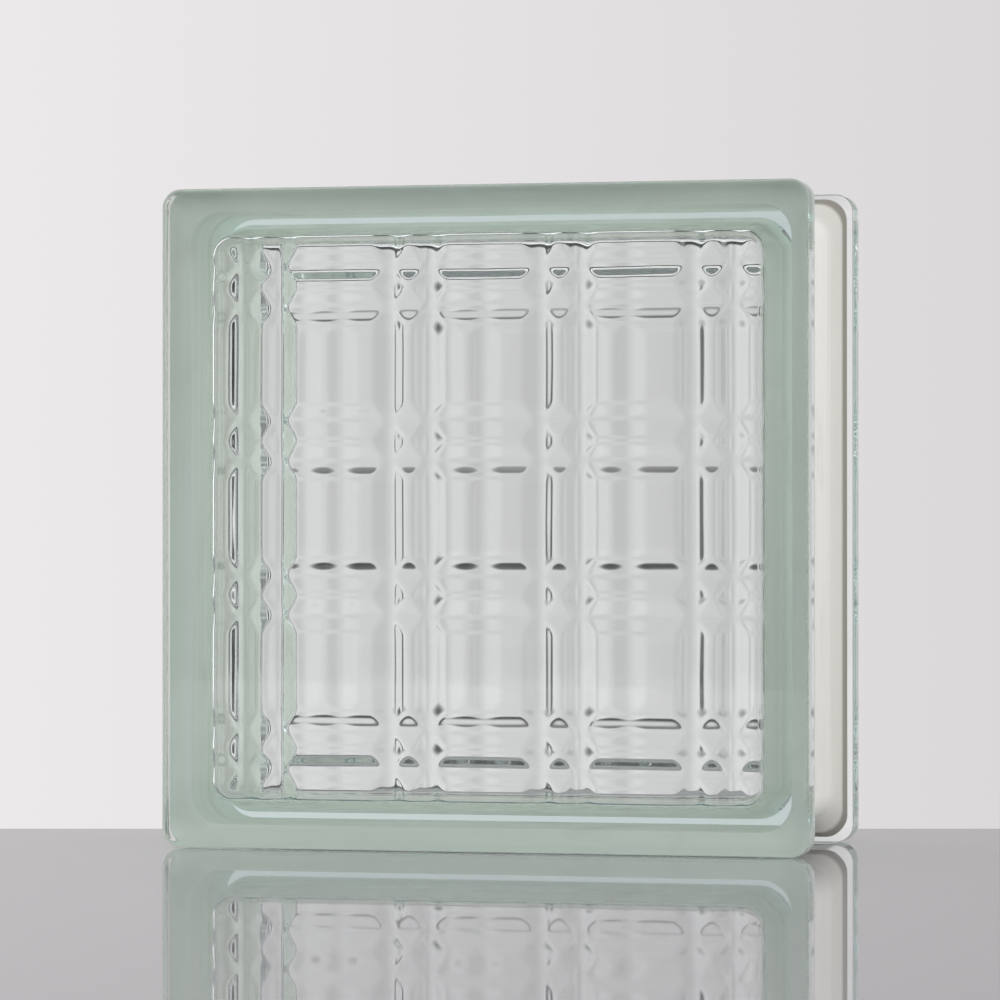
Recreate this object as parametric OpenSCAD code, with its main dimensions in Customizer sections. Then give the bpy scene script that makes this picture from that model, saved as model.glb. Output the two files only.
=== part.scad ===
// Hollow pressed glass block, standing on its edge with one face towards -Y.
// Two pressed halves are fused along the middle, so the glass is one piece round a sealed cavity.
// Pairs of ribs cross on the inner side of both faces, and the outer sides are smooth.

/* [Block] */
// Overall width
block_w = 190; // [150:1:240]
// Overall height
block_h = 190; // [150:1:240]
// Overall depth, from face to face
block_t = 80; // [75:1:110]

/* [Rims] */
// Depth of the flat outer edge of each rim
rim_edge = 10; // [7:0.5:13]
// How far the rims stand out past the side walls
rim_overhang = 6.4; // [4.5:0.1:8]
// Depth of the slope behind each rim
rim_slope = 3.5; // [2:0.5:5]
// Corner radius of the faces
face_corner_r = 5.5; // [4:0.5:12]
// Rounding of the edge of each face
edge_round = 2; // [1:0.25:3]

/* [Walls] */
// Thickness of a face between its ribs
face_t = 8; // [7:0.5:14]
// Thickness of the side walls at the seam
wall_t = 2.8; // [2.2:0.1:8]
// How far each side of the cavity closes in from the seam to a face
wall_draft = 4.3; // [1:0.1:6]
// Corner radius of the outside of the side walls
wall_corner_r = 9; // [4:0.5:14]
// Corner radius of the cavity at the seam
cavity_corner_r = 10.5; // [9:0.5:14]
// Radius between the cavity's walls and a face
blend_r = 2.5; // [1:0.25:4]

/* [Ribs] */
// Distance from one pair of ribs to the next
pair_pitch = 44.3; // [36:0.1:50]
// Distance between the ribs of a pair
rib_gap = 11.6; // [10:0.1:16]
// Width of a rib
rib_w = 8.7; // [6:0.1:9.5]
// Height of the upright ribs
rib_h = 1.5; // [0.8:0.05:2]
// How much lower the ribs across the block are than the upright ones
cross_step = 0.1; // [0.05:0.05:0.2]

/* [Seam] */
// Width of the bead where the halves are fused
bead_w = 5; // [3:0.5:8]
// Height of the bead above the side walls
bead_h = 0.6; // [0.3:0.1:1.2]

/* [Coating] */
// Thickness of the white coat on the side walls
coat_t = 0.4; // [0.3:0.05:0.8]
// Share of the slope behind each rim that the coat climbs
coat_climb = 0.5; // [0.2:0.05:0.8]
// Clearance under the coat
coat_gap = 0.04; // [0.02:0.01:0.06]

/* [Hidden] */
$fn = 96;

// How far solids reach into each other where they are joined
lap = 1;
half_t = block_t / 2;
wall_w = block_w - 2 * rim_overhang;
wall_h = block_h - 2 * rim_overhang;
cavity_w = wall_w - 2 * wall_t;
cavity_h = wall_h - 2 * wall_t;
ground_z = half_t - face_t;
edge_z = half_t - rim_edge;
// Where the slope behind a rim meets the side wall, measured from the centre of a face corner
slope_r = max(0, face_corner_r - rim_overhang);
slope_z = edge_z - rim_slope * (face_corner_r - slope_r) / rim_overhang;
slope = [face_corner_r - slope_r, edge_z - slope_z];

function arc_radius(chord, rise) = (chord * chord / 4 + rise * rise) / (2 * rise);

// Sweeps a profile round a rectangle with round corners, and fills the middle from low to high.
// The profile is drawn outwards from the centre of a corner.
module swept(w, h, r, low, high) {
    run_x = w - 2 * r;
    run_y = h - 2 * r;
    for (q = [0:3]) {
        out = q % 2 == 0 ? run_x : run_y;
        along = q % 2 == 0 ? run_y : run_x;
        rotate(90 * q) translate([out / 2, along / 2, 0]) {
            rotate_extrude(angle = 90) children();
            rotate([90, 0, 0]) linear_extrude(along) children();
        }
    }
    translate([-run_x / 2, -run_y / 2, low]) cube([run_x, run_y, high - low]);
}

// The rim and face of one half: the face's edge is rounded, and the back slopes in to the wall.
// The slope is moved out by grow.
module rim(grow) {
    drop = grow * norm(slope) / slope.x;
    swept(block_w, block_h, face_corner_r, slope_z - drop, half_t)
        difference() {
            polygon([
                [0, slope_z - drop],
                [slope_r, slope_z - drop],
                [face_corner_r, edge_z - drop],
                [face_corner_r, half_t],
                [0, half_t]
            ]);
            translate([face_corner_r - edge_round, half_t - edge_round])
                difference() {
                    square(edge_round + lap);
                    circle(edge_round);
                }
        }
}

// The coat's layer on the slope behind one rim, reaching into the glass by lap.
module slope_coat() {
    out = [slope.y, -slope.x] / norm(slope);
    climb = [slope_r, slope_z] + coat_climb * slope;
    swept(block_w, block_h, face_corner_r, slope_z - coat_t, slope_z + lap)
        polygon([
            [0, slope_z - coat_t],
            [slope_r, slope_z - coat_t],
            climb + coat_t * out,
            climb - lap * out,
            [0, slope_z + lap]
        ]);
}

// The side walls as a solid block, with its surface moved out by grow.
module walls(grow, depth) {
    r = wall_corner_r + grow;
    swept(wall_w + 2 * grow, wall_h + 2 * grow, r, -depth, depth)
        translate([0, -depth]) square([r, 2 * depth]);
}

// The bead left by fusing the halves, with its surface moved out by grow.
module bead(grow) {
    r = arc_radius(bead_w, bead_h);
    swept(wall_w, wall_h, wall_corner_r, -lap, lap)
        intersection() {
            translate([wall_corner_r + bead_h - r, 0]) circle(r + grow);
            translate([0, -bead_w]) square([wall_corner_r + bead_h + grow + lap, 2 * bead_w]);
        }
}

// The glass as if it had no cavity, with the sides that take the coat moved out by grow.
module outside(grow) {
    for (side = [0, 1])
        mirror([0, 0, side]) rim(grow);
    walls(grow, slope_z + lap);
    bead(grow);
}

// Profile of the cavity's wall: it closes in from the seam to both faces and is blended into them.
module cavity_profile() {
    wall_out = [ground_z, wall_draft] / norm([ground_z, wall_draft]);
    blend_z = ground_z - blend_r;
    blend_at = [cavity_corner_r - (blend_z * wall_draft / ground_z + blend_r / wall_out.x), blend_z];
    intersection() {
        translate([0, -ground_z]) square([cavity_corner_r, 2 * ground_z]);
        for (side = [0, 1]) mirror([0, side]) {
            polygon([
                [0, 0],
                [cavity_corner_r, 0],
                blend_at + blend_r * wall_out,
                [blend_at.x, ground_z],
                [0, ground_z]
            ]);
            translate(blend_at) circle(blend_r);
        }
    }
}

// Section of a rib on the inner side of a face.
module rib(h) {
    r = arc_radius(rib_w, h);
    translate([0, ground_z]) intersection() {
        translate([0, r - h]) circle(r);
        translate([-rib_w, -h]) square([2 * rib_w, h + lap]);
    }
}

// The pairs of ribs on one face that run the same way, as many as fit across it.
module ribs(across, along, h) {
    length = along + 2 * lap;
    room = across / 2 - wall_draft - blend_r - rib_gap / 2;
    pairs = floor(room / pair_pitch + 0.5);
    for (pair = [-pairs:pairs - 1], side = [-1, 1])
        translate([(pair + 0.5) * pair_pitch + side * rib_gap / 2, length / 2, 0])
            rotate([90, 0, 0]) linear_extrude(length) rib(h);
}

// The sealed space inside, with upright ribs and ribs across it standing in from both faces.
module cavity() {
    difference() {
        swept(cavity_w, cavity_h, cavity_corner_r, -ground_z, ground_z) cavity_profile();
        for (side = [0, 1]) mirror([0, 0, side]) {
            ribs(cavity_w, cavity_h, rib_h);
            rotate(90) ribs(cavity_h, cavity_w, rib_h - cross_step);
        }
    }
}

module stand() {
    translate([0, 0, block_h / 2]) rotate([90, 0, 0]) children();
}

module glass_body() {
    color([0.80, 0.90, 0.86, 0.5]) stand() difference() {
        outside(0);
        cavity();
    }
}

module edge_coating() {
    color([0.93, 0.92, 0.87]) stand() difference() {
        union() {
            walls(coat_t, slope_z);
            bead(coat_t);
            for (side = [0, 1])
                mirror([0, 0, side]) slope_coat();
        }
        outside(coat_gap);
    }
}

glass_body();
edge_coating();
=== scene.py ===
import math

import bmesh
import bpy
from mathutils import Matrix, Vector, noise


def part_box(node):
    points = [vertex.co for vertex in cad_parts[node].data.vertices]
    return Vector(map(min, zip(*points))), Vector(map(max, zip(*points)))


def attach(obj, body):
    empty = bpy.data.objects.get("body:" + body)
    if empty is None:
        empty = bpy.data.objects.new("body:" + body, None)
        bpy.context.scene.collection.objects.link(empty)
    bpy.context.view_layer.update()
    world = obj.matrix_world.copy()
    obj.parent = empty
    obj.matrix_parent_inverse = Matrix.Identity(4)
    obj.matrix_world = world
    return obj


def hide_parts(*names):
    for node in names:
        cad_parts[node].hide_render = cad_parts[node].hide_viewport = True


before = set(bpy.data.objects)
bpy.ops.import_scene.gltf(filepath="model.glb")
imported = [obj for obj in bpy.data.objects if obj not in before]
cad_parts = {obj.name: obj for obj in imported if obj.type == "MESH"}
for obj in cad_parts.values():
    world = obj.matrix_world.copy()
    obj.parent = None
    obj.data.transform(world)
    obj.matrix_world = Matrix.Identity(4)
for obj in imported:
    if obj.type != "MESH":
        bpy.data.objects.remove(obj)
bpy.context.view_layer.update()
mm = 0.001
blockLow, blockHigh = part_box("glass_body")
halfWidth = (blockHigh.x - blockLow.x) / 2
halfDepth = (blockHigh.y - blockLow.y) / 2
halfHeight = (blockHigh.z - blockLow.z) / 2
middle = (blockLow + blockHigh) / 2
print("frame loaded: block", [round(v / mm, 1) for v in (blockHigh - blockLow)])

# the block's section, with the sizes of the solids and rounder slopes
section = {
    "rimEdge": 10 * mm,          # flat outer edge of a rim
    "rimOverhang": 6.4 * mm,     # how far the rims stand out past the walls
    "rimSlope": 3.5 * mm,        # depth of the slope behind a rim
    "faceCorner": 5.5 * mm,
    "edgeRound": 2 * mm,         # rounding of a face's edge
    "edgeSteps": 8,
    "slopeRound": 0.7 * mm,      # rounding where the slope meets the rim and the wall
    "slopeSteps": 4,
    "wallCorner": 9 * mm,
    "beadWidth": 5 * mm,
    "beadHeight": 0.6 * mm,
    "beadSteps": 2,
    "cornerSteps": 10,
    "lead": 0.4 * mm,            # keeps the flat runs flat next to the round corners
    "weld": 0.001 * mm,          # points nearer to each other than this become one
    "mirrorWeld": 0.01 * mm,     # the same for a point and its mirror image
    "smoothAngle": math.radians(40),
}

# the cavity and the ribs that cross inside both faces
cavity = {
    "faceThickness": 8 * mm,     # between the ribs
    "wallThickness": 2.8 * mm,   # at the seam
    "wallDraft": 4.3 * mm,       # how far the walls close in from the seam to a face
    "wallRows": (0.03, 0.5, 1),  # rows of points on a wall, as shares of its way to the seam
    "seamCorner": 10.5 * mm,
    "blend": 2.5 * mm,           # between the walls and a face
    "blendSteps": 8,
    "pairPitch": 44.3 * mm,
    "pairs": 4,
    "ribGap": 11.6 * mm,         # between the ribs of a pair
    "ribWidth": 11.6 * mm,       # from foot to foot
    "ribHeight": 1.54 * mm,      # of the ribs that are upright in front and run across at the back
    "crossStep": 0.35 * mm,      # how much lower the ribs that cross them are
    "ribBlend": 0.15 * mm,       # how softly the ribs run into each other
    "ribSteps": 20,
    "flatStep": 5 * mm,          # between grid lines on the flats
    "leastStep": 0.15 * mm,      # grid lines nearer than this are left out
    "wander": 0.22 * mm,         # how far pressing moved the ribs sideways
    "wanderScale": 14 * mm,
    "wanderLevels": (4.2, 9.7),  # where the noise is cut, for moves across and up
    "swell": 0.03 * mm,          # slow waves that pressing left on the glass
    "swellScale": 9 * mm,
}


def addRounded(corners):
    # corners: (depth, inset, rounding, steps) of an outline, with an arc at each rounded one
    path = []
    for k, (depth, inset, rounding, steps) in enumerate(corners):
        here = Vector((depth, inset))
        if not rounding:
            path.append(here)
            continue
        before = (Vector(corners[k - 1][:2]) - here).normalized()
        after = (Vector(corners[k + 1][:2]) - here).normalized()
        half = before.angle(after) / 2
        centre = here + (before + after).normalized() * (rounding / math.sin(half))
        start = here + before * (rounding / math.tan(half)) - centre
        end = here + after * (rounding / math.tan(half)) - centre
        turn = start.angle(end)
        for s in range(steps + 1):
            t = s / steps
            arc = (start * math.sin((1 - t) * turn) + end * math.sin(t * turn)) / math.sin(turn)
            path.append(centre + arc)
    return path


def ringAt(depth, inset, radius):
    # a rectangle with round corners, at a depth behind the front face
    ring = []
    y = middle.y - halfDepth + depth
    for quarter in range(4):
        first = quarter * math.pi / 2
        signX = 1 if quarter in (0, 3) else -1
        signZ = 1 if quarter in (0, 1) else -1
        centreX = middle.x + signX * (halfWidth - inset - radius)
        centreZ = middle.z + signZ * (halfHeight - inset - radius)
        for step in range(-1, section["cornerSteps"] + 2):
            inArc = min(max(step, 0), section["cornerSteps"])
            angle = first + math.pi / 2 * inArc / section["cornerSteps"]
            slide = (step - inArc) * section["lead"]
            x = centreX + radius * math.cos(angle) - slide * math.sin(angle)
            z = centreZ + radius * math.sin(angle) + slide * math.cos(angle)
            ring.append(Vector((x, y, z)))
    return ring


def placeRing(piece, ring):
    # the selected vertices go to their own spots on the ring
    mesh = bmesh.from_edit_mesh(piece.data)
    spot = mesh.verts.layers.int["spot"]
    for v in mesh.verts:
        if v.select:
            v.co = ring[v[spot]]
    bmesh.update_edit_mesh(piece.data)


def extrudeRings(piece, rings):
    for ring in rings:
        bpy.ops.mesh.extrude_edges_move()
        placeRing(piece, ring)


def sweepRings(name, rings, fill):
    # a circle is laid on the first ring, and its edge is extruded from ring to ring
    bpy.ops.object.select_all(action="DESELECT")
    bpy.ops.mesh.primitive_circle_add(vertices=len(rings[0]), fill_type=fill)
    piece = bpy.context.object
    piece.name = piece.data.name = name
    bpy.ops.object.mode_set(mode="EDIT")
    bpy.ops.mesh.select_mode(type="EDGE")
    bpy.ops.mesh.select_all(action="SELECT")
    mesh = bmesh.from_edit_mesh(piece.data)
    spot = mesh.verts.layers.int.new("spot")
    for k, v in enumerate(mesh.verts):
        v[spot] = k
    placeRing(piece, rings[0])
    extrudeRings(piece, rings[1:])
    return piece


def closeSeams(piece, inside):
    # rings that lie on each other become one
    bpy.ops.mesh.select_all(action="SELECT")
    bpy.ops.mesh.remove_doubles(threshold=section["weld"])
    bpy.ops.mesh.normals_make_consistent(inside=inside)
    bpy.ops.object.mode_set(mode="OBJECT")
    piece.data.attributes.remove(piece.data.attributes["spot"])


def addMirrorHalf(piece):
    # the other half is a mirror image, joined at the seam
    bpy.ops.object.mode_set(mode="OBJECT")
    bpy.ops.object.modifier_add(type="MIRROR")
    halves = piece.modifiers[-1]
    halves.use_axis = (False, True, False)
    halves.use_clip = True
    halves.merge_threshold = section["mirrorWeld"]
    bpy.ops.object.modifier_apply(modifier=halves.name)
    bpy.ops.object.mode_set(mode="EDIT")


def wallOutline(grow):
    # from the foot of the slope along the wall and over the bead to the seam
    slopeEnd = section["rimEdge"] + section["rimSlope"]
    wallInset = section["rimOverhang"] - grow
    beadStart = halfDepth - section["beadWidth"] / 2
    return [
        (slopeEnd, wallInset, section["slopeRound"], section["slopeSteps"]),
        (beadStart, wallInset, section["beadHeight"], section["beadSteps"]),
        (halfDepth - section["beadWidth"] / 4, wallInset - section["beadHeight"], 0, 0),
        (halfDepth, wallInset - section["beadHeight"], 0, 0),
    ]


def cornerRadius(inset):
    # the corners get rounder from the rim down to the wall
    share = min(max(inset / section["rimOverhang"], 0), 1)
    return section["faceCorner"] + (section["wallCorner"] - section["faceCorner"]) * share


def makeShell():
    corners = [
        (0, section["edgeRound"] + section["lead"], 0, 0),
        (0, 0, section["edgeRound"], section["edgeSteps"]),
        (section["rimEdge"], 0, section["slopeRound"], section["slopeSteps"]),
    ]
    rings = []
    for depth, inset in addRounded(corners + wallOutline(0)):
        radius = cornerRadius(inset)
        if depth < section["rimEdge"] / 2:
            radius = section["faceCorner"] - inset   # the face's edge is round about one centre
        rings.append(ringAt(depth, inset, radius))
    shell = sweepRings("glassBlock", rings, "NGON")
    addMirrorHalf(shell)
    closeSeams(shell, False)
    return shell


def ribPlaces():
    for pair in range(cavity["pairs"]):
        pairAt = (pair - (cavity["pairs"] - 1) / 2) * cavity["pairPitch"]
        for side in (-1, 1):
            yield pairAt + side * cavity["ribGap"] / 2


def ribProfile(u, height):
    # each rib swells from its feet to a round crest
    for ribAt in ribPlaces():
        off = 2 * abs(u - ribAt) / cavity["ribWidth"]
        if off < 1:
            return height * (1 + math.cos(math.pi * off)) / 2
    return 0


def reliefHeight(x, z):
    # ribs of both directions, run into each other, with what pressing did to them
    place = Vector((x, z, 0)) / cavity["wanderScale"]
    levelX, levelZ = cavity["wanderLevels"]
    x += cavity["wander"] * noise.noise(place + Vector((0, 0, levelX)))
    z += cavity["wander"] * noise.noise(place + Vector((0, 0, levelZ)))
    soft = cavity["ribBlend"]
    high = math.exp(ribProfile(x, cavity["ribHeight"]) / soft)
    low = math.exp(ribProfile(z, cavity["ribHeight"] - cavity["crossStep"]) / soft)
    swell = noise.noise(Vector((x, z, 0)) / cavity["swellScale"]) * cavity["swell"]
    return soft * math.log(high + low - 1) + swell


def rulingLines(reach):
    # grid lines close together over the ribs and wide apart on the flats
    steps = cavity["ribSteps"]
    stops = []
    for ribAt in ribPlaces():
        stops += [ribAt + cavity["ribWidth"] * (k / steps - 0.5) for k in range(steps + 1)]
    stops = sorted(stop for stop in stops if abs(stop) < reach - section["lead"]) + [reach]
    lines = [-reach]
    for stop in stops:
        start = lines[-1]
        gap = stop - start
        if gap > cavity["leastStep"]:
            parts = max(1, round(gap / cavity["flatStep"]))
            lines += [start + gap * k / parts for k in range(1, parts + 1)]
    lines[-1] = reach
    return lines


def roundCorner(x, z, reachX, reachZ, radius):
    # the corner square of the grid is pressed into a quarter disc, and the way out is given too
    innerX, innerZ = reachX - radius, reachZ - radius
    u = max(0, abs(x) - innerX) / radius
    v = max(0, abs(z) - innerZ) / radius
    if u > 0 and v > 0:
        u, v = u * math.sqrt(1 - v * v / 2), v * math.sqrt(1 - u * u / 2)
        x = math.copysign(innerX + radius * u, x)
        z = math.copysign(innerZ + radius * v, z)
    return x, z, Vector((math.copysign(u, x), math.copysign(v, z)))


def makeCavityHalf(side):
    # side is -1 for the front half and 1 for the back one
    groundDepth = halfDepth - cavity["faceThickness"]   # from the seam to the face between its ribs
    lean = math.atan2(cavity["wallDraft"], groundDepth)
    turn = math.pi / 2 - lean
    wallFoot = cavity["blend"] * (1 - math.cos(turn))
    outAtFoot = cavity["blend"] * math.sin(turn)
    outAtSeam = outAtFoot + (groundDepth - wallFoot) * math.tan(lean)
    reachX = halfWidth - section["rimOverhang"] - cavity["wallThickness"] - outAtSeam
    reachZ = halfHeight - section["rimOverhang"] - cavity["wallThickness"] - outAtSeam
    radius = cavity["seamCorner"] - outAtSeam
    linesX, linesZ = rulingLines(reachX), rulingLines(reachZ)
    lastX, lastZ = len(linesX) - 1, len(linesZ) - 1

    bpy.ops.object.select_all(action="DESELECT")
    bpy.ops.mesh.primitive_grid_add(x_subdivisions=lastX, y_subdivisions=lastZ, size=1)
    piece = bpy.context.object
    piece.name = piece.data.name = "cavitySurface"
    bpy.ops.object.mode_set(mode="EDIT")
    bpy.ops.mesh.select_mode(type="EDGE")
    mesh = bmesh.from_edit_mesh(piece.data)
    spot = mesh.verts.layers.int.new("spot")
    edge = []
    for v in mesh.verts:
        col = round((v.co.x + 0.5) * lastX)
        row = round((v.co.y + 0.5) * lastZ)
        x, z, out = roundCorner(linesX[col], linesZ[row], reachX, reachZ, radius)
        # the back half was turned a quarter before the halves were fused
        depth = groundDepth - (reliefHeight(x, z) if side < 0 else reliefHeight(z, x))
        v.co = Vector((middle.x + x, middle.y + side * depth, middle.z + z))
        if col in (0, lastX) or row in (0, lastZ):
            v[spot] = len(edge)
            edge.append((v.co.copy(), out.normalized(), depth))
    bmesh.update_edit_mesh(piece.data)

    # the edge of the face is drawn round the blend and down the walls to the seam
    rows = []
    for k in range(1, cavity["blendSteps"] + 1):
        a = turn * k / cavity["blendSteps"]
        rows.append((cavity["blend"] * math.sin(a), cavity["blend"] * (1 - math.cos(a)), 0))
    for share in cavity["wallRows"]:
        rows.append((outAtFoot + (outAtSeam - outAtFoot) * share, wallFoot, share))
    rings = []
    for out, drop, share in rows:
        ring = []
        for at, way, depth in edge:
            y = side * (depth - drop) * (1 - share)
            ring.append(Vector((at.x + way.x * out, middle.y + y, at.z + way.y * out)))
        rings.append(ring)
    bpy.ops.mesh.select_all(action="SELECT")
    bpy.ops.mesh.region_to_loop()
    extrudeRings(piece, rings)
    bpy.ops.object.mode_set(mode="OBJECT")
    return piece


def joinPieces(main, other):
    bpy.ops.object.select_all(action="DESELECT")
    other.select_set(True)
    main.select_set(True)
    bpy.context.view_layer.objects.active = main
    bpy.ops.object.join()


def makeCavity():
    front, back = makeCavityHalf(-1), makeCavityHalf(1)
    joinPieces(front, back)
    bpy.ops.object.mode_set(mode="EDIT")
    closeSeams(front, True)
    return front


def makeGlass():
    shell = makeShell()
    joinPieces(shell, makeCavity())
    bpy.ops.object.shade_smooth_by_angle(angle=section["smoothAngle"])
    return shell


# the coat brushed on the walls and part of the way up the slopes
coating = {
    "thickness": 0.4 * mm,
    "bite": 0.08 * mm,           # sunk into the glass, so no air shows between them
    "climb": (0.9, 0.7),         # share of the slope that it covers, at the front rim and the back one
    "ragged": 0.06,              # how far the brush strayed at the edge, as such a share
    "raggedScale": 9 * mm,
}


def makeCoat():
    slopeTop = Vector((section["rimEdge"], 0))
    slopeFoot = Vector((section["rimEdge"] + section["rimSlope"], section["rimOverhang"]))
    along = slopeTop - slopeFoot
    outward = Vector((-along.y, along.x)).normalized()

    def layer(grow, climb):
        start = slopeFoot + along * climb + outward * grow
        return addRounded([(start.x, start.y, 0, 0)] + wallOutline(grow))

    def halfRings(grow, side):
        # from the free edge on the slope to the seam
        def ring(point):
            depth = 2 * halfDepth - point.x if side else point.x
            return ringAt(depth, point.y, cornerRadius(point.y))

        climb = coating["climb"][side]
        rings = [ring(point) for point in layer(grow, climb)]
        short = ring(layer(grow, climb - coating["ragged"])[0])
        far = ring(layer(grow, climb + coating["ragged"])[0])
        for k, point in enumerate(rings[0]):
            share = 0.5 + 0.5 * noise.noise(point / coating["raggedScale"])
            rings[0][k] = short[k].lerp(far[k], share)
        return rings

    # one loop: over the outside from the front to the back, and home along the glass
    outer = [halfRings(coating["thickness"], side) for side in (0, 1)]
    inner = [halfRings(-coating["bite"], side) for side in (0, 1)]
    loop = outer[0] + outer[1][-2::-1] + inner[1] + inner[0][-2::-1] + outer[0][:1]
    coat = sweepRings("edgeCoat", loop, "NOTHING")
    closeSeams(coat, False)
    bpy.ops.object.shade_smooth_by_angle(angle=section["smoothAngle"])
    return coat


class Signal:
    # a shader socket that can be used in sums
    def __init__(self, tree, socket=None):
        self.tree = tree
        self.socket = socket

    def node(self, kind, settings, sockets, output=0):
        made = self.tree.nodes.new(kind)
        for name, value in settings.items():
            setattr(made, name, value)
        for name, value in sockets.items():
            if isinstance(value, Signal):
                value.feed(made.inputs[name])
            else:
                made.inputs[name].default_value = value
        return Signal(self.tree, made.outputs[output])

    def feed(self, target):
        self.tree.links.new(self.socket, target)

    def math(self, operation, a, b=0):
        return self.node("ShaderNodeMath", {"operation": operation}, {0: a, 1: b})

    def cloud(self, place, scale, detail):
        return self.node("ShaderNodeTexNoise", {}, {"Vector": place, "Scale": scale, "Detail": detail})

    def ramp(self, value, start, end, top=1, shape="LINEAR"):
        # rises from 0 to top between start and end
        limits = {"Value": value, "From Min": start, "From Max": end, "To Max": top}
        return self.node("ShaderNodeMapRange", {"interpolation_type": shape}, limits)

    def mix(self, share, first, second):
        # sockets 6 and 7 and output 2 are the node's colours
        sockets = {"Factor": share, 6: first, 7: second}
        return self.node("ShaderNodeMix", {"data_type": "RGBA"}, sockets, 2)

    def bump(self, strength, distance, height):
        sockets = {"Strength": strength, "Distance": distance, "Height": height}
        return self.node("ShaderNodeBump", {}, sockets)

    def __add__(self, other):
        return self.math("ADD", self, other)

    def __sub__(self, other):
        return self.math("SUBTRACT", self, other)

    def __rsub__(self, other):
        return self.math("SUBTRACT", other, self)

    def __mul__(self, other):
        return self.math("MULTIPLY", self, other)

    def __gt__(self, other):
        return self.math("GREATER_THAN", self, other)

    __radd__ = __add__
    __rmul__ = __mul__


def newMaterial(name):
    material = bpy.data.materials.new(name)
    material.use_nodes = True
    flow = Signal(material.node_tree)
    place = flow.node("ShaderNodeTexCoord", {}, {}, "Object")
    return material, material.node_tree.nodes["Principled BSDF"].inputs, flow, place


# clear soda-lime glass, greenish where it is thick
glassLook = {
    "ior": 1.52,
    "absorption": (0.69, 0.88, 0.866, 1),
    "density": 10,
    "tint": (0.99, 0.99, 0.985, 1),
    "clear": (1, 1, 1, 1),
    "waveScale": 38,             # slow waves in the fire-finished surface
    "waveDetail": 1,
    "waveBump": 0.06,
    "waveHeight": 0.05 * mm,
}


def glassMaterial():
    material, shader, flow, place = newMaterial("clearGlass")
    waves = flow.cloud(place, glassLook["waveScale"], glassLook["waveDetail"])
    flow.mix(waves, glassLook["clear"], glassLook["tint"]).feed(shader["Base Color"])
    flow.bump(glassLook["waveBump"], glassLook["waveHeight"], waves).feed(shader["Normal"])
    shader["Roughness"].default_value = 0
    shader["IOR"].default_value = glassLook["ior"]
    shader["Transmission Weight"].default_value = 1
    depth = flow.node("ShaderNodeVolumeAbsorption", {},
                      {"Color": glassLook["absorption"], "Density": glassLook["density"]})
    depth.feed(material.node_tree.nodes["Material Output"].inputs["Volume"])
    return material


# off-white coat with brush marks along the channel
coatLook = {
    "base": (0.86, 0.87, 0.82, 1),
    "thin": (0.79, 0.795, 0.735, 1),
    "thinSpan": (0.45, 0.75),    # of the streaks' noise
    "grime": (0.66, 0.64, 0.57, 1),
    "grimeSpan": (0.58, 0.78),   # of the blotches' noise
    "grimeShare": 0.5,
    "edge": (0.70, 0.70, 0.61, 1),    # where the brush ran dry on the slopes
    "edgeShare": 0.4,
    "line": (0.27, 0.255, 0.22, 1),   # dark edge that shows at the back rim
    "lineShare": 0.85,
    "lineSpan": (0.38, 0.47),    # where it starts, as shares of the slope's depth
    "streakScale": 60,
    "streakDetail": 4,
    "streakStretch": (0.16, 7, 0.16),
    "blotchScale": 45,
    "blotchDetail": 3,
    "roughness": 0.55,
    "roughnessSpread": 0.2,
    "bump": 0.35,
    "bumpHeight": 0.12 * mm,
    "blotchBump": 0.5,           # of the height that the streaks have
}


def coatMaterial():
    material, shader, flow, place = newMaterial("whiteCoat")
    stretched = flow.node("ShaderNodeMapping", {},
                          {"Vector": place, "Scale": coatLook["streakStretch"]})
    streaks = flow.cloud(stretched, coatLook["streakScale"], coatLook["streakDetail"])
    blotches = flow.cloud(place, coatLook["blotchScale"], coatLook["blotchDetail"])
    thin = flow.ramp(streaks, *coatLook["thinSpan"])
    grime = flow.ramp(blotches, *coatLook["grimeSpan"], coatLook["grimeShare"])
    # both slopes are drier towards their tops, and the back one has a dark edge
    depth = flow.node("ShaderNodeSeparateXYZ", {}, {"Vector": place}, "Y")
    slopeTop = halfDepth - section["rimEdge"]
    slopeFoot = slopeTop - section["rimSlope"]
    dry = flow.ramp(flow.math("ABSOLUTE", depth), slopeFoot, slopeTop, coatLook["edgeShare"])
    lineSpan = [slopeFoot + section["rimSlope"] * share for share in coatLook["lineSpan"]]
    line = flow.ramp(depth, *lineSpan, coatLook["lineShare"])
    colour = flow.mix(thin, coatLook["base"], coatLook["thin"])
    for share, name in ((grime, "grime"), (dry, "edge"), (line, "line")):
        colour = flow.mix(share, colour, coatLook[name])
    colour.feed(shader["Base Color"])
    roughness = coatLook["roughness"] + coatLook["roughnessSpread"] * streaks
    roughness.feed(shader["Roughness"])
    height = streaks + coatLook["blotchBump"] * blotches
    flow.bump(coatLook["bump"], coatLook["bumpHeight"], height).feed(shader["Normal"])
    return material


glass = makeGlass()
print("glass made:", len(glass.data.polygons), "faces")
coat = makeCoat()
print("coat made:", len(coat.data.polygons), "faces")
for piece, material, node, slot in (
    (glass, glassMaterial(), "glass_body", "clear_glass"),
    (coat, coatMaterial(), "edge_coating", "white_coat"),
):
    piece.data.materials.clear()
    piece.data.materials.append(material)
    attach(piece, "root")
    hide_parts(node)
print("materials set")

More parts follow.
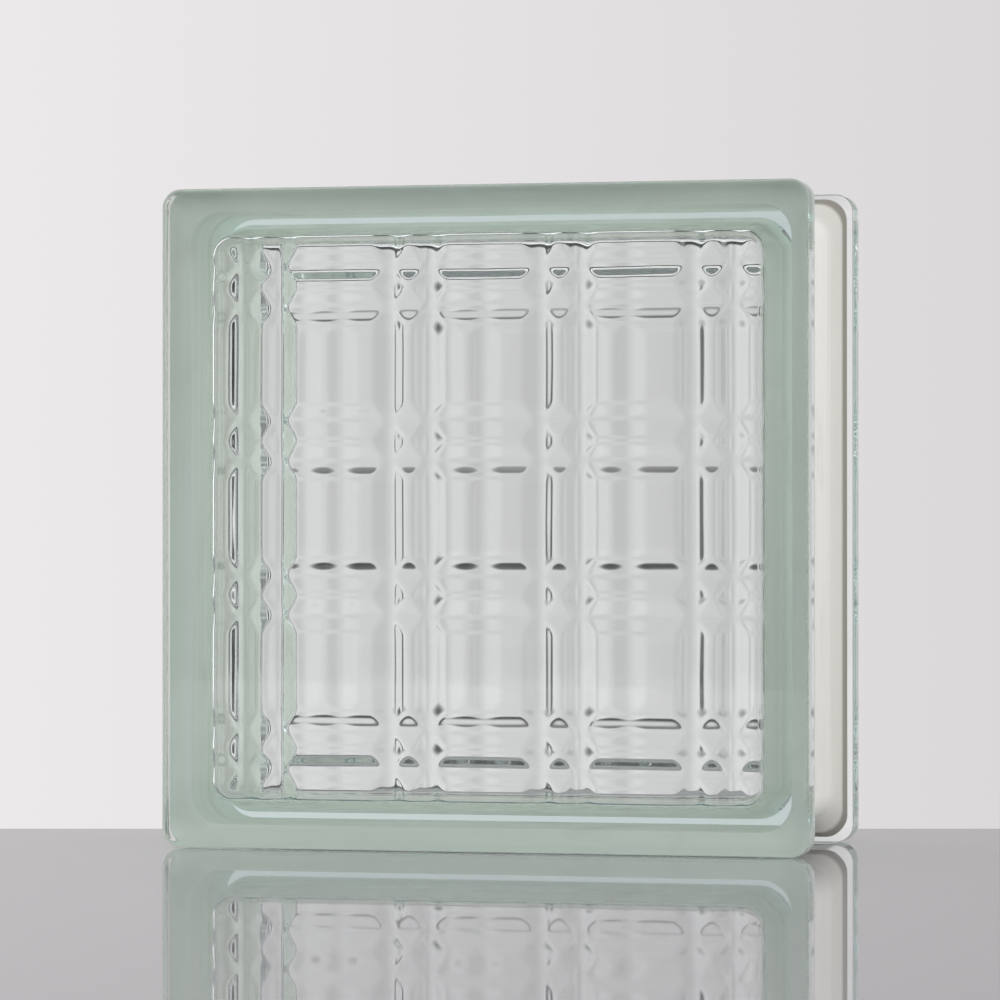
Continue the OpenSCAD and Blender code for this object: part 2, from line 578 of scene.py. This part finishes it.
# the camera's place, found from the block's edges in the photograph
view = {
    "azimuth": math.radians(14.5),
    "elevation": math.radians(-0.27),
    "distance": 1.4338,
    "target": Vector((-0.00418, 0, 0.10033)),
    "lens": 176.8,
    "sensor": 36,
}
back = Vector((math.sin(view["azimuth"]) * math.cos(view["elevation"]),
               -math.cos(view["azimuth"]) * math.cos(view["elevation"]),
               math.sin(view["elevation"])))
bpy.ops.object.camera_add(location=view["target"] + back * view["distance"],
                          rotation=(math.pi / 2 - view["elevation"], 0, view["azimuth"]))
camera = bpy.context.object
camera.data.lens = view["lens"]
camera.data.sensor_width = view["sensor"]
bpy.context.scene.camera = camera
rightward = Vector((math.cos(view["azimuth"]), math.sin(view["azimuth"]), 0))
forward = Vector((-math.sin(view["azimuth"]), math.cos(view["azimuth"]), 0))
upward = Vector((0, 0, 1))

# the table top reaches from under the camera to just behind the block
table = {
    "width": 2.4,
    "front": 1.3,                # from the block's middle towards the camera
    "behind": 0.075,
    "drop": 0.2 * mm,            # gap under the block
    "colour": (0.34, 0.338, 0.356, 1),
    "cloudColour": (0.365, 0.362, 0.378, 1),
    "cloudScale": 14,
    "cloudDetail": 2,
    "roughness": 0.015,
    "roughnessSpread": 0.015,
}


def makeTable():
    length = table["front"] + table["behind"]
    bpy.ops.object.select_all(action="DESELECT")
    bpy.ops.mesh.primitive_plane_add(size=1)
    top = bpy.context.object
    top.name = "tableTop"
    bpy.ops.object.mode_set(mode="EDIT")
    bpy.ops.transform.resize(value=(table["width"], length, 1))
    bpy.ops.object.mode_set(mode="OBJECT")
    top.location = forward * (table["behind"] - length / 2) + upward * (blockLow.z - table["drop"])
    top.rotation_euler.z = view["azimuth"]
    material, shader, flow, place = newMaterial("tableFinish")
    cloud = flow.cloud(place, table["cloudScale"], table["cloudDetail"])
    flow.mix(cloud, table["colour"], table["cloudColour"]).feed(shader["Base Color"])
    (table["roughness"] + table["roughnessSpread"] * cloud).feed(shader["Roughness"])
    top.data.materials.append(material)


# a pale backdrop behind the block, a grey wall on its right, and soft boxes further round
studio = {
    "light": 1.24,               # what falls on the coat and the table
    "lightSlope": 0.22,          # how much stronger it is from the right
    "lightRise": -0.6,           # and from above, where it is weaker
    "colour": (1, 0.975, 0.985, 1),
    "pale": 0.77,                # backdrop on the camera's axis
    "paleSlope": -0.011,         # for each degree to the right
    "paleSpan": 8,               # degrees to either side over which it changes
    "through": 0.95,             # how much of it shows through the glass
    "mirrored": 0.75,            # and in the table
    "dark": 0.04,                # the gaps round it
    "centre": (1, 1),            # of what shows through, in degrees right and up of the axis
    "reach": (17, 15.5),         # how far that is pale, in degrees across and up
    "fade": 1.6,                 # where it is dark, as a multiple of that
    "wall": (16, 26),            # degrees to the right at which the grey wall starts
    "wallLevel": 0.32,
    "boxes": (36, 52),           # degrees from the axis at which the soft boxes start
    "boxesRight": (70, 90),      # and end on the right
    "boxesEnd": (88, 108),       # and end behind the camera
    "boxLevel": 1.3,
}


def makeStudio():
    world = bpy.data.worlds.new("studio")
    bpy.context.scene.world = world
    world.use_nodes = True
    flow = Signal(world.node_tree)

    def part(axis):
        sockets = {0: toward, 1: axis}
        return flow.node("ShaderNodeVectorMath", {"operation": "DOT_PRODUCT"}, sockets, "Value")

    def ease(value, start, end):
        return flow.ramp(value, start, end, shape="SMOOTHSTEP")

    def rays(kind):
        return flow.node("ShaderNodeLightPath", {}, {}, kind)

    # where a ray goes, in degrees
    toward = flow.node("ShaderNodeTexCoord", {}, {}, "Generated")
    toRight, toFront, toTop = part(rightward), part(forward), part(upward)
    across = flow.math("ARCTAN2", toRight, toFront) * math.degrees(1)
    rise = flow.math("ARCSINE", toTop) * math.degrees(1)
    off = flow.math("ARCCOSINE", toFront) * math.degrees(1)

    # what shows in the glass
    fromCentre = [flow.math("POWER", (turned - centre) * (1 / reach), 2) for turned, centre, reach
                  in zip((across, rise), studio["centre"], studio["reach"])]
    shown = 1 - ease(flow.math("SQRT", fromCentre[0] + fromCentre[1]), 1, studio["fade"])
    near = flow.math("MINIMUM", across, studio["paleSpan"])
    near = flow.math("MAXIMUM", near, -studio["paleSpan"])
    pale = studio["pale"] + studio["paleSlope"] * near
    seen = studio["dark"] + (pale * studio["through"] - studio["dark"]) * shown
    boxes = ease(off, *studio["boxes"])
    seen = seen + studio["wallLevel"] * ease(across, *studio["wall"]) * (1 - boxes)
    boxes = boxes * (1 - ease(across, *studio["boxesRight"]))
    boxes = boxes * (1 - ease(off, *studio["boxesEnd"]))
    seen = seen + studio["boxLevel"] * boxes

    # what the camera sees, what the table mirrors, and what lights the coat and the table
    direct = rays("Is Camera Ray")
    seen = seen * (1 - direct) + pale * direct
    offTable = rays("Is Glossy Ray") * (1 - rays("Is Singular Ray"))   # the glass mirrors sharply
    seen = seen * (1 - offTable) + studio["mirrored"] * pale * offTable
    light = 1 + studio["lightSlope"] * toRight + studio["lightRise"] * toTop
    lit = rays("Diffuse Depth") > 0.5
    level = seen * (1 - lit) + studio["light"] * light * lit
    background = world.node_tree.nodes["Background"]
    level.feed(background.inputs["Strength"])
    background.inputs["Color"].default_value = studio["colour"]


makeTable()
makeStudio()
scene = bpy.context.scene
scene.view_settings.view_transform = "Standard"
scene.cycles.max_bounces = 64        # light has to find its way out of the rims
scene.cycles.transmission_bounces = 48
scene.cycles.glossy_bounces = 48
scene.cycles.diffuse_bounces = 6
scene.cycles.blur_glossy = 0
print("stage set")
